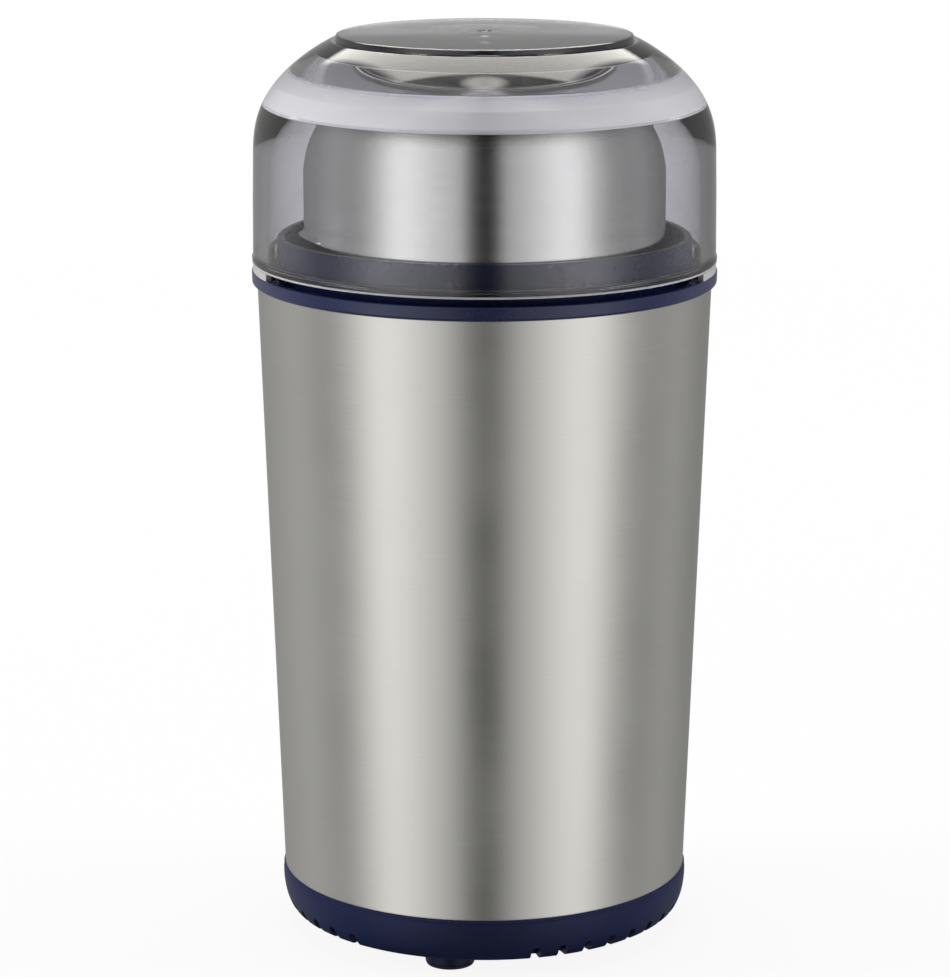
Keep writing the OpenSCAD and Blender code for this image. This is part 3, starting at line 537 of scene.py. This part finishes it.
# --------------------------------------------------------------- lid's seal
LIP_R, LIP_Z = BOWL_R + 1.6, RIM_Z - 0.1
seal = turned("seal_ring", rounded([
    (BOWL_R - 3.7, RIM_Z + 1.6, 0.5), (LIP_R, RIM_Z + 1.6, 0.2), (LIP_R, LIP_Z, 0.25),
    (LID_R - 4.15, LIP_Z, 0.7), (LID_R - 4.45, LIP_Z + 1.0, 0.5),
    (LID_R - 6.85, RIM_Z + 4.0, 0.5), (LID_R - 10.05, SEAL_TOP - 0.5, 0.4),
    (BOWL_R - 0.9, SEAL_TOP, 0.4), (BOWL_R - 3.7, SEAL_TOP - 0.2, 0.5)], 4),
    around=FINE_ROUND)
dress(seal, "lid", "lid_seal")

# -------------------------------------------------------------- steel bowl
BOWL_SHEET, CORNER = 0.7, 7.0
BUSH_R = 5.05                       # hole for the blade's bush
LEDGE_Z, LEDGE_OUT = RING_TOP + 0.7, 0.95
LEDGE_HALF = 12                     # half of a ledge's length, in degrees
FOOT_FLARE, TOP_FLARE, TOP_FLARE_H = 0.45, 0.7, 7.5
FLARE_Z = RIM_Z - 9                 # where the wall starts to open to the rim


def heading_of(angle):
    """Degrees from the front, seen from above, of a mesh angle from +X."""
    return (angle + 90 + 180) % 360 - 180


def clamped(t):
    """A share kept between 0 and 1."""
    return min(1, max(0, t))


def eased(t):
    """A share from 0 to 1 that starts and ends softly."""
    t = clamped(t)
    return t * t * (3 - 2 * t)


def bowl_press(angle, r, z):
    """The wall flares a little under the rim and at the collar, and has short ledges
    pressed out of it."""
    if BOWL_R - 0.1 < r < BOWL_R + 0.1 and FLARE_Z < z < RIM_Z - 1.4:
        return r + TOP_FLARE * ((z - FLARE_Z) / TOP_FLARE_H) ** 3, z
    if r < BOWL_R - 2 or z > LEDGE_Z + 3 or z < BOWL_Z + CORNER:
        return r, z
    r += FOOT_FLARE * eased((LEDGE_Z + 1.8 - z) / 3.6) * clamped(
        (z - BOWL_Z - CORNER) / 8)
    above, below = clamped((LEDGE_Z + 0.7 - z) / 0.7), clamped((z - LEDGE_Z + 2.4) / 2.2)
    for lug in LUGS:
        off = abs((heading_of(angle) - lug + 180) % 360 - 180)
        r += LEDGE_OUT * eased((LEDGE_HALF - off) / 2.2) * above * below
    return r, z


wall_steps = [LEDGE_Z - 4 + 0.3 * k for k in range(24)]
bowl_outline = ([(BUSH_R, BOWL_Z)]
                + arc((BOWL_R - CORNER, BOWL_Z + CORNER), (CORNER, CORNER), -90, 0, 14)
                + [(BOWL_R, z) for z in wall_steps]
                + [(BOWL_R, FLARE_Z + 0.5 * k) for k in range(16)]
                + arc((BOWL_R + 0.55, RIM_Z - 0.62), (0.62, 0.6), -85, 90, 8)
                + rounded([(BOWL_R + 0.3, RIM_Z, 0), (BOWL_R - BOWL_SHEET, RIM_Z, 0.5),
                           (BOWL_R - BOWL_SHEET, RIM_Z - 1.2, 0)], 4)
                + [(BOWL_R - BOWL_SHEET, z) for z in reversed(wall_steps)]
                + arc((BOWL_R - CORNER, BOWL_Z + CORNER),
                      (CORNER - BOWL_SHEET, CORNER - BOWL_SHEET), 0, -90, 12)
                + [(20, BOWL_Z + BOWL_SHEET), (BUSH_R, BOWL_Z + BOWL_SHEET)])
bowl = turned("bowl_shell", bowl_outline, around=480, press=bowl_press, crease=35)
dress(bowl, "bowl", "grinding_bowl")

# -------------------------------------------------------------- steel shell
shell_outline = rounded([
    (SHELL_FOOT_R, SHELL_Z, 0.15), (SHELL_TOP_R, COLLAR_Z, 0.15),
    (SHELL_TOP_R - SHEET, COLLAR_Z, 0.1), (SHELL_FOOT_R - SHEET, SHELL_Z, 0.1)], 3)
shell = turned("shell_sleeve", shell_outline, around=FINE_ROUND)
GLAND_Z, GLAND_HOLE, CORD_R = 25.6, 5.3, 3.2
bpy.ops.mesh.primitive_cylinder_add(vertices=96, radius=GLAND_HOLE * MM, depth=16 * MM,
                                    location=(0, 45.5 * MM, GLAND_Z * MM),
                                    rotation=(math.pi / 2, 0, 0))
cut(shell, [bpy.context.object])
dress(shell, "housing", "outer_shell")

# ------------------------------------------------------------- navy collar
RING_R, BORE_R, WELL_R = LID_R - 5.5, LID_R - 7.1, BOWL_R + 0.9
SHELF_Z = WELL_Z + 12.6             # step inside the ring, which the keys stand on
collar = turned("collar_ring", rounded([
    (LID_R - 0.7, COLLAR_Z, 0.35), (LID_R + 0.02, COLLAR_Z + 0.45, 0.4),
    (LID_R + 0.1, FLANGE_TOP, 0.45), (LID_R - 0.9, FLANGE_TOP, 0.25),
    (LID_R - 1.1, FLANGE_TOP - 1.8, 0.3), (RING_R, FLANGE_TOP - 1.8, 0.35),
    (RING_R, RING_TOP, 0.5), (BORE_R, RING_TOP, 0.35), (BORE_R, SHELF_Z, 0.4),
    (WELL_R, SHELF_Z, 0.4), (WELL_R, WELL_Z, 0.6), (13, WELL_Z, 0.3),
    (13, WELL_Z - 2.4, 0.2), (WELL_R + 1.6, WELL_Z - 2.4, 0.5),
    (WELL_R + 1.6, WELL_Z + 10.8, 0.3), (RING_R, WELL_Z + 10.8, 0.2),
    (RING_R, COLLAR_Z, 0.1), (LID_R - 3.4, COLLAR_Z, 0.1),
    (LID_R - 3.4, COLLAR_Z - 7.8, 0.2), (LID_R - 2.2, COLLAR_Z - 7.8, 0.2),
    (LID_R - 2.2, COLLAR_Z, 0)], 4), around=FINE_ROUND)
keys = [curved_block("key", BORE_R + 0.6, BORE_R - 1.9, SHELF_Z - 0.4, RING_TOP - 2,
                     heading, 8, 0.3) for heading in KEYS]
cut(collar, keys, "UNION")
pockets = []
for side in TABS:
    pockets += [
        curved_block("pocket", LID_R - 0.55, LID_R - 3.35, POCKET_FLOOR, POCKET_TOP, side,
                     46, 0.05),
        curved_block("pocket", LID_R - 2.1, LID_R - 5.15, POCKET_FLOOR, POCKET_TOP, side,
                     16, 0.05),
        curved_block("pocket", LID_R, LID_R - 4, COLLAR_Z - 9, COLLAR_Z - 0.01, side, 20,
                     0.05),
        pin("pocket", 1.35, COLLAR_Z - 1, 146,
            (LID_R - 3.7) * (1 if side == 90 else -1), 0)]
for arm in ARMS:
    pockets.append(curved_block("window", WELL_R + 2.6, WELL_R - 1, WELL_Z, SHELF_Z + 1,
                                arm, 15, 0.05))
for x, y in three_round(WELL_SCREWS, 120):
    cone = turned("hole", [(0, WELL_Z - 3), (SCREW_R, WELL_Z - 3), (SCREW_R, WELL_Z - 1),
                           (3.2, WELL_Z + 0.1), (0, WELL_Z + 0.1)], 48, closed=False)
    pockets.append(stood_at(cone, x, y))
cut(collar, pockets)
dress(collar, "housing", "top_collar")

# -------------------------------------------------------------- base cover
BASE_R, SPIGOT_R = SHELL_FOOT_R + 0.41, SHELL_FOOT_R - 1.05


def vent(turn):
    """Cutter for a slot with a round top, put in from the side."""
    half = VENT_W / 2
    outline = [(-half, BASE_Z - 1)] + [
        (-half * math.cos(math.radians(a)),
         BASE_Z + VENT_H - half + half * math.sin(math.radians(a)))
        for a in range(0, 181, 15)] + [(half, BASE_Z - 1)]
    count = len(outline)
    points = [(x, y, z) for y in (-BASE_R - 1, -BASE_R + VENT_DEPTH) for x, z in outline]
    faces = [(k, (k + 1) % count, count + (k + 1) % count, count + k)
             for k in range(count)] + [tuple(range(count)),
                                       tuple(range(2 * count - 1, count - 1, -1))]
    slot = piece("vent", points, faces)
    slot.data.transform(Matrix.Rotation(turn, 4, "Z"))
    return slot


base = turned("base_shell", (
    [(0, BASE_Z)]
    + arc((BASE_R - 2.9, BASE_Z + 7.9), (2.9, 7.9), -90, 0, 22)
    + rounded([(BASE_R, SHELL_Z - 0.6, 0.2), (BASE_R - 0.36, SHELL_Z, 0.1),
               (SPIGOT_R, SHELL_Z, 0.1), (SPIGOT_R, SHELL_Z + 5, 0.3),
               (SPIGOT_R - 2.2, SHELL_Z + 5, 0.3), (SPIGOT_R - 2.2, BASE_Z + 6.5, 0),
               (SPIGOT_R - 4.6, BASE_Z + 1.6, 0), (30, BASE_Z + 1.6, 0)], 4)
    + [(0, BASE_Z + 1.6)]), around=FINE_ROUND, closed=False)
bosses = []
for x, y in three_round(FOOT_RING, FOOT_TURN):
    boss = turned("boss", rounded([(0, BASE_Z + 4, 0), (FOOT_R, BASE_Z + 4, 0),
                                   (FOOT_R, 0.75, 0.25), (0, 0.75, 0)], 3), 96,
                  closed=False)
    bosses.append(stood_at(boss, x, y))
bosses += [pin("post", POST_R, BASE_Z + 0.2, 22, x, y)
           for x, y in three_round(POST_RING, FOOT_TURN)]
cut(base, bosses, "UNION")
hollows = [pin("hollow", FOOT_R - 0.7, 0.5, 6.4, x, y, 96)
           for x, y in three_round(FOOT_RING, FOOT_TURN)]
for x, y in three_round(POST_RING, FOOT_TURN):
    hollows += [pin("hollow", HEAD_R, BASE_Z - 0.1, BASE_Z + 6, x, y),
                pin("hollow", SCREW_R, BASE_Z, 23, x, y)]
for gap in range(3):
    for i in range(VENTS):
        heading = FOOT_TURN + (gap + 0.5) * 120 + (i - (VENTS - 1) / 2) * VENT_PITCH
        hollows.append(vent(math.radians(heading)))
cut(base, hollows)
# the base's darker navy is painted shade near the floor
dress(base, "housing", "base_cover", skin=NAVY_MATT_SHADED)

# ------------------------------------------------------------- rubber feet
feet = []
for x, y in three_round(FOOT_RING, FOOT_TURN):
    pad = turned("pad", rounded([
        (0, 0.45, 0), (2.2, 0.45, 0.2), (2.5, 0, 0.25), (FOOT_R - 0.35, 0, 0.35),
        (FOOT_R - 0.05, 0.7, 0.1), (FOOT_R - 0.75, 0.7, 0), (FOOT_R - 0.75, 6.3, 0.3),
        (0, 6.3, 0)], 4), 96, closed=False)
    feet.append(stood_at(pad, x, y))
dress(merged("foot_pads", feet), "housing", "rubber_feet")

# -------------------------------------------------------------- cord gland
wall_y = SHELL_FOOT_R + (SHELL_TOP_R - SHELL_FOOT_R) * (GLAND_Z - SHELL_Z) / (
    COLLAR_Z - SHELL_Z)
gland = turned("gland_sleeve", rounded([
    (CORD_R, -6, 0.2), (GLAND_HOLE + 1.2, -6, 0.5), (GLAND_HOLE + 1.2, -2.6, 0.4),
    (GLAND_HOLE - 0.05, -2.6, 0.1), (GLAND_HOLE - 0.05, 0.45, 0.1),
    (GLAND_HOLE + 1.9, 0.45, 0.3), (GLAND_HOLE + 1.0, 2.05, 0.5),
    (CORD_R + 1.75, 2.05, 0.3), (CORD_R + 1.5, 5, 0.5), (CORD_R, 5, 0.3)], 4), 96)
gland.data.transform(Matrix.Translation((0, wall_y * MM, GLAND_Z * MM))
                     @ Matrix.Rotation(-math.pi / 2, 4, "X"))
dress(gland, "housing", "cord_gland")

# ---------------------------------------------------------- return springs
SPRING_FOOT, SPRING_TOP, SPRING_R, WIRE_R, TURNS = 112.55, 132.05, 1.75, 0.25, 7


def spring(side):
    """Closed and ground coil round one press rod."""
    steps, ring = TURNS * 28, 12
    points, faces = [], []
    for i in range(steps + 1):
        t = i / steps
        # the pitch closes up over the first and last turn
        ease = t - 0.045 * math.sin(2 * math.pi * t)
        a = 2 * math.pi * TURNS * t
        z = SPRING_FOOT + WIRE_R + (SPRING_TOP - SPRING_FOOT - 2 * WIRE_R) * ease
        for k in range(ring):
            b = 2 * math.pi * k / ring
            r = SPRING_R + WIRE_R * math.cos(b)
            points.append((side * ROD_R + r * math.cos(a), r * math.sin(a),
                           z + WIRE_R * math.sin(b)))
    for i in range(steps):
        for k in range(ring):
            faces.append((i * ring + k, (i + 1) * ring + k,
                          (i + 1) * ring + (k + 1) % ring, i * ring + (k + 1) % ring))
    faces += [tuple(range(ring)), tuple(range(steps * ring, (steps + 1) * ring))]
    return piece("coil", points, faces, 40)


springs = dress(merged("spring_coils", [spring(1), spring(-1)]), "housing",
                "return_springs")
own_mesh(springs)


# ------------------------------------------------------------------- stage
def light_ways(tree):
    """Whether a ray shows a surface to the eye, and whether it was mirrored before."""
    path = add(tree, "LightPath").outputs
    seen = add(tree, "Math", {0: path["Is Camera Ray"], 1: path["Is Transmission Ray"]},
               operation="MAXIMUM")
    seen = add(tree, "Math", {0: seen.outputs[0], 1: path["Is Glossy Ray"]},
               operation="MAXIMUM")
    mirrored = add(tree, "Math", {0: path["Glossy Depth"], 1: 0.5},
                   operation="GREATER_THAN")
    return seen.outputs[0], mirrored.outputs[0]


bpy.ops.mesh.primitive_plane_add(size=6, location=(0, 0, 0))
floor = bpy.context.object
floor.name = "floor"
floor.visible_glossy = False
paper = bpy.data.materials.new("backdrop_paper")
paper.use_nodes = True
tree = paper.node_tree
tree.nodes.clear()
# Seen directly or through the lid, the paper keeps a faint share of shadow near the
# object and runs out to plain white further off
away = add(tree, "VectorMath", {0: add(tree, "TexCoord").outputs["Object"]},
           operation="LENGTH")
white = add(tree, "MapRange", {"Value": away.outputs["Value"], "From Min": 0.3,
                               "From Max": 1.1, "To Min": 0.9, "To Max": 1.0})
matt = add(tree, "BsdfDiffuse", {"Color": srgb("#f4f4f2"), "Roughness": 0.5})
lit = add(tree, "Emission", {"Color": srgb("#ffffff"), "Strength": 1.0})
seen, mirrored = light_ways(tree)
share = add(tree, "Math", {0: seen, 1: white.outputs[0]}, operation="MULTIPLY")
mixed = add(tree, "MixShader", {0: share.outputs[0], 1: matt.outputs[0],
                                2: lit.outputs[0]})
# Mirrored in steel, the paper gives way to the studio's panels
open_way = add(tree, "BsdfTransparent")
ground = add(tree, "MixShader", {0: mirrored, 1: mixed.outputs[0],
                                 2: open_way.outputs[0]})
add(tree, "OutputMaterial", {"Surface": ground.outputs[0]})
floor.data.materials.append(paper)

# Studio: a white tent for what the camera sees, and for reflections a ring of tall
# soft panels with dark gaps, the widest gap in front where the camera stands.
world = bpy.data.worlds.new("studio")
scene.world = world
world.use_nodes = True
tree = world.node_tree
tree.nodes.clear()
way = add(tree, "TexCoord").outputs["Generated"]
axes = add(tree, "SeparateXYZ", {"Vector": way})
turn = add(tree, "Math", {0: axes.outputs["X"], 1: add(
    tree, "Math", {0: axes.outputs["Y"], 1: -1.0}, operation="MULTIPLY").outputs[0]},
    operation="ARCTAN2")
round_it = add(tree, "MapRange", {"Value": turn.outputs[0], "From Min": -math.pi,
                                  "From Max": math.pi})
panels = add(tree, "ValToRGB", {"Fac": round_it.outputs[0]})
ramp = panels.color_ramp
ramp.interpolation = "B_SPLINE"
# heading from the front in degrees (right is positive), brightness
PANELS = ((-180, 0.50), (-162, 0.32), (-148, 0.40), (-130, 0.46), (-116, 0.60),
          (-104, 0.58), (-92, 0.40), (-80, 0.42), (-68, 0.90), (-56, 1.60), (-44, 1.35),
          (-32, 1.05), (-22, 0.85), (-15, 0.75), (-8, 0.15), (0, 0.0), (7, 0.10),
          (13, 0.62), (22, 0.75), (34, 1.05), (50, 1.50), (60, 1.40), (70, 0.85),
          (82, 0.38), (98, 0.38), (114, 0.54), (126, 0.42), (146, 0.28), (162, 0.28),
          (180, 0.50))
while len(ramp.elements) < len(PANELS):
    ramp.elements.new(0.5)
for stop, (heading, level) in zip(ramp.elements, PANELS):
    stop.position = (heading + 180) / 360
    stop.color = (level / 2, level / 2, level / 2 * 0.985, 1)
seen, mirrored = light_ways(tree)
tent = add(tree, "Background", {"Color": srgb("#ffffff"), "Strength": 1.0})
fill = add(tree, "Background", {"Color": srgb("#f6f7fa"), "Strength": 0.22})
bands = add(tree, "Background", {"Color": panels.outputs[0], "Strength": 2.0})
# Towards the worktop close by, the panels fade into the object's own shade
deep = add(tree, "MapRange", {"Value": axes.outputs["Z"], "From Min": -0.70,
                              "From Max": -0.42, "To Min": 0.12, "To Max": 1.0})
shade = add(tree, "Background", {"Color": srgb("#16181c"), "Strength": 1.0})
grounded = add(tree, "MixShader", {0: deep.outputs[0], 1: shade.outputs[0],
                                   2: bands.outputs[0]})
# A long softbox hangs overhead behind the object
across = add(tree, "Math", {0: axes.outputs["X"]}, operation="ABSOLUTE")
across = add(tree, "MapRange", {"Value": across.outputs[0], "From Min": 0.36,
                                "From Max": 0.41, "To Min": 1.0, "To Max": 0.0})
low_edge = add(tree, "MapRange", {"Value": axes.outputs["Z"], "From Min": 0.42,
                                  "From Max": 0.47})
behind = add(tree, "MapRange", {"Value": axes.outputs["Y"], "From Min": 0.22,
                                "From Max": 0.26})
inside = add(tree, "Math", {0: behind.outputs[0], 1: across.outputs[0]},
             operation="MULTIPLY")
# and a small round one straight above it
off_top = add(tree, "VectorMath", {0: way, 1: (0, 0.10, 1)}, operation="DISTANCE")
round_one = add(tree, "MapRange", {"Value": off_top.outputs["Value"], "From Min": 0.07,
                                   "From Max": 0.13, "To Min": 1.0, "To Max": 0.0})
inside = add(tree, "Math", {0: inside.outputs[0], 1: round_one.outputs[0]},
             operation="MAXIMUM")
inside = add(tree, "Math", {0: inside.outputs[0], 1: low_edge.outputs[0]},
             operation="MULTIPLY")
softbox = add(tree, "Background", {"Color": srgb("#fffcf6"), "Strength": 5.0})
panels_all = add(tree, "MixShader", {0: inside.outputs[0], 1: grounded.outputs[0],
                                     2: softbox.outputs[0]})
shown = add(tree, "MixShader", {0: mirrored, 1: tent.outputs[0],
                                2: panels_all.outputs[0]})
whole = add(tree, "MixShader", {0: seen, 1: fill.outputs[0], 2: shown.outputs[0]})
add(tree, "OutputWorld", {"Surface": whole.outputs[0]})


def soft_lamp(name, place, aim, size, power):
    """A large soft panel lamp that lights the dull surfaces."""
    data = bpy.data.lights.new(name, "AREA")
    data.shape, data.size, data.size_y, data.energy = "RECTANGLE", size[0], size[1], power
    lamp = bpy.data.objects.new(name, data)
    scene.collection.objects.link(lamp)
    lamp.location = place
    lamp.rotation_euler = (Vector(aim) - Vector(place)).to_track_quat("-Z", "Y").to_euler()
    lamp.visible_camera = lamp.visible_glossy = lamp.visible_transmission = False


soft_lamp("panel_left", (-1.45, 0.0, 0.4), (0, 0, 0.1), (0.6, 1.0), 24)
soft_lamp("panel_right", (1.45, 0.0, 0.4), (0, 0, 0.1), (0.6, 1.0), 17)
soft_lamp("panel_top", (0, 0.2, 1.5), (0, 0, 0.1), (1.0, 1.0), 11)

# ------------------------------------------------------------------ camera
PITCH, REACH, AIM_Z, SIDE = 12.953, 0.8371, 0.097744, -0.00206
view = bpy.data.cameras.new("camera")
view.sensor_fit, view.sensor_width, view.lens = "HORIZONTAL", 36, 144.92
view.clip_start = 0.01
camera = bpy.data.objects.new("camera", view)
scene.collection.objects.link(camera)
camera.location = (SIDE, -REACH * math.cos(math.radians(PITCH)),
                   AIM_Z + REACH * math.sin(math.radians(PITCH)))
camera.rotation_euler = (math.radians(90 - PITCH), 0, 0)
scene.camera = camera
scene.view_settings.view_transform = "Standard"
